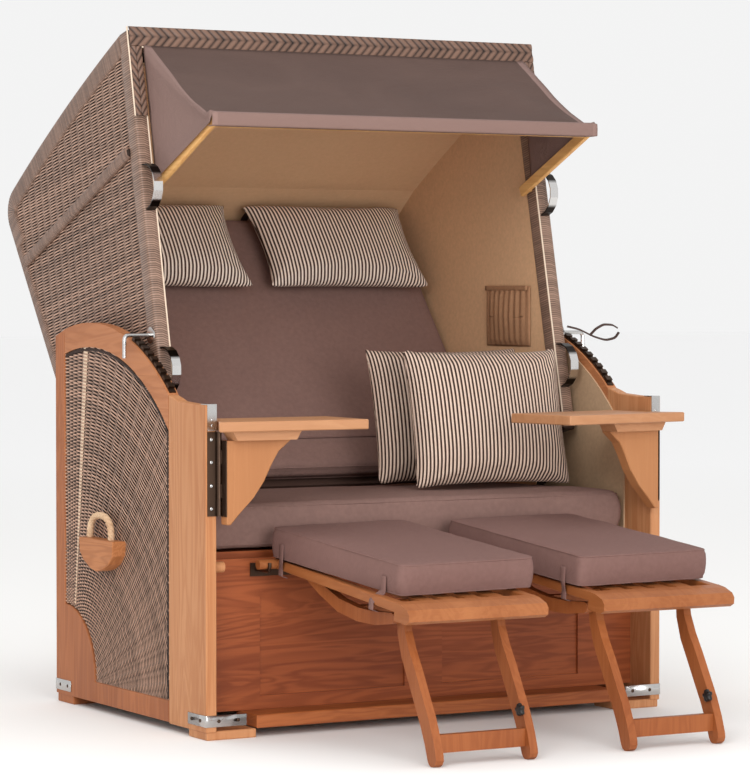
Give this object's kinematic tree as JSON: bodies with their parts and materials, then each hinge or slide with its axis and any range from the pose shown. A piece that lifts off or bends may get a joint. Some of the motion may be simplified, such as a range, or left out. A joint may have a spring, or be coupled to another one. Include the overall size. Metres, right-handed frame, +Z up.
{
  "type": "hooded beach chair",
  "caption": "Hooded beach chair for sitting side by side: boarded base with woven side windows, tilting woven hood with awning, swing trays, folding footrests with pads and loose pillows.",
  "frame": {"origin": "on the floor under the middle of the bounding box", "axes": "+X to the right seen from the front, +Y to the back, +Z up; the seat faces -Y"},
  "size_m": [1.2606, 1.8024, 1.6018],
  "materials": {
    "post_wood": "oiled hardwood boards",
    "arch_wood": "oiled hardwood boards",
    "panel_wood": "dark oiled hardwood",
    "tray_wood": "oiled hardwood",
    "leg_wood": "oiled hardwood",
    "fan_weave": "woven synthetic cane",
    "hood_weave": "woven synthetic cane",
    "braid": "plaited synthetic cane",
    "lining_cloth": "matt woven cloth",
    "cushion_cloth": "heavy woven cloth over foam",
    "striped_cloth": "heavy striped cloth over filling",
    "awning_cloth": "heavy woven cloth",
    "rope": "laid rope",
    "polished_steel": "polished",
    "dark_steel": "dark finish"
  },
  "bodies": {
    "base": {"front_post_left": "post_wood", "front_post_right": "post_wood", "arch_left": "arch_wood", "arch_right": "arch_wood", "rear_frame_left": "arch_wood", "rear_frame_right": "arch_wood", "side_weave_left": "fan_weave", "side_weave_right": "fan_weave", "post_cap_left": "polished_steel", "post_cap_right": "polished_steel", "post_hinge_left": "dark_steel", "post_hinge_right": "dark_steel", "toothed_rail_left": "dark_steel", "toothed_rail_right": "dark_steel", "rope_block_left": "post_wood", "rope_block_right": "post_wood", "carry_rope_left": "rope", "carry_rope_right": "rope", "footrest_hook_left": "polished_steel", "footrest_hook_right": "polished_steel", "pivot_bolt_left": "polished_steel", "pivot_bolt_right": "polished_steel", "front_sill": "post_wood", "front_panel": "panel_wood", "rear_panel": "panel_wood", "seat_board": "panel_wood", "seat_cushion": "cushion_cloth", "throw_pillow_front": "striped_cloth", "throw_pillow_rear": "striped_cloth"},
    "hood": {"hood_side_left": "hood_weave", "hood_side_right": "hood_weave", "upper_handle_left": "polished_steel", "upper_handle_right": "polished_steel", "lower_handle_left": "polished_steel", "lower_handle_right": "polished_steel", "headrest_left": "striped_cloth", "headrest_right": "striped_cloth", "hood_roof": "hood_weave", "hood_lining": "lining_cloth", "hood_front_frame": "hood_weave", "hood_braid": "braid", "back_cushion": "cushion_cloth"},
    "awning": {"awning_frame": "tray_wood", "awning_cloth": "awning_cloth"},
    "lever_left": {"lever_left": "polished_steel"},
    "tray_left": {"tray_left": "tray_wood", "tray_bracket_left": "tray_wood", "tray_hinge_left": "dark_steel"},
    "footrest_left": {"footrest_frame_left": "leg_wood", "foot_pad_left": "cushion_cloth"},
    "front_legs_left": {"front_legs_left": "leg_wood"},
    "rear_legs_left": {"rear_legs_left": "leg_wood"},
    "lever_right": {"lever_right": "polished_steel"},
    "tray_right": {"tray_right": "tray_wood", "tray_bracket_right": "tray_wood", "tray_hinge_right": "dark_steel"},
    "footrest_right": {"footrest_frame_right": "leg_wood", "foot_pad_right": "cushion_cloth"},
    "front_legs_right": {"front_legs_right": "leg_wood"},
    "rear_legs_right": {"rear_legs_right": "leg_wood"}
  },
  "joints": [
    {"name": "hood_tilt", "type": "hinge", "parent": "base", "child": "hood", "pos_m": [0, 0.30124, 0.27], "axis": [1, 0, 0], "range_deg": [0, 18]},
    {"name": "awning_swing", "type": "hinge", "parent": "hood", "child": "awning", "pos_m": [0, 0.13918, 1.23667], "axis": [-1, 0, 0], "range_deg": [0, 40], "deforming": ["awning_cloth"]},
    {"name": "lever_left_turn", "type": "hinge", "parent": "hood", "child": "lever_left", "pos_m": [-0.5523, 0.06274, 0.88497], "axis": [1, 0, 0], "range_deg": [0, 90]},
    {"name": "lever_right_turn", "type": "hinge", "parent": "hood", "child": "lever_right", "pos_m": [0.5523, 0.06274, 0.88497], "axis": [1, 0, 0], "range_deg": [0, 90]},
    {"name": "tray_left_swing", "type": "hinge", "parent": "base", "child": "tray_left", "pos_m": [-0.572, -0.31676, 0.585], "axis": [0, 0, -1], "range_deg": [0, 70]},
    {"name": "tray_right_swing", "type": "hinge", "parent": "base", "child": "tray_right", "pos_m": [0.572, -0.31676, 0.585], "axis": [0, 0, 1], "range_deg": [-10.7, 59.3]},
    {"name": "footrest_left_tilt", "type": "hinge", "parent": "base", "child": "footrest_left", "pos_m": [-0.241, -0.27676, 0.3795], "axis": [-1, 0, 0], "range_deg": [0, 15]},
    {"name": "front_legs_left_fold", "type": "hinge", "parent": "footrest_left", "child": "front_legs_left", "pos_m": [-0.241, -0.7494, 0.32696], "axis": [1, 0, 0], "range_deg": [0, 60]},
    {"name": "rear_legs_left_fold", "type": "hinge", "parent": "footrest_left", "child": "rear_legs_left", "pos_m": [-0.241, -0.37115, 0.36338], "axis": [1, 0, 0], "range_deg": [0, 52]},
    {"name": "footrest_right_tilt", "type": "hinge", "parent": "base", "child": "footrest_right", "pos_m": [0.241, -0.27676, 0.3795], "axis": [-1, 0, 0], "range_deg": [0, 15]},
    {"name": "front_legs_right_fold", "type": "hinge", "parent": "footrest_right", "child": "front_legs_right", "pos_m": [0.241, -0.7494, 0.32696], "axis": [1, 0, 0], "range_deg": [0, 60]},
    {"name": "rear_legs_right_fold", "type": "hinge", "parent": "footrest_right", "child": "rear_legs_right", "pos_m": [0.241, -0.37115, 0.36338], "axis": [1, 0, 0], "range_deg": [0, 52]}
  ]
}
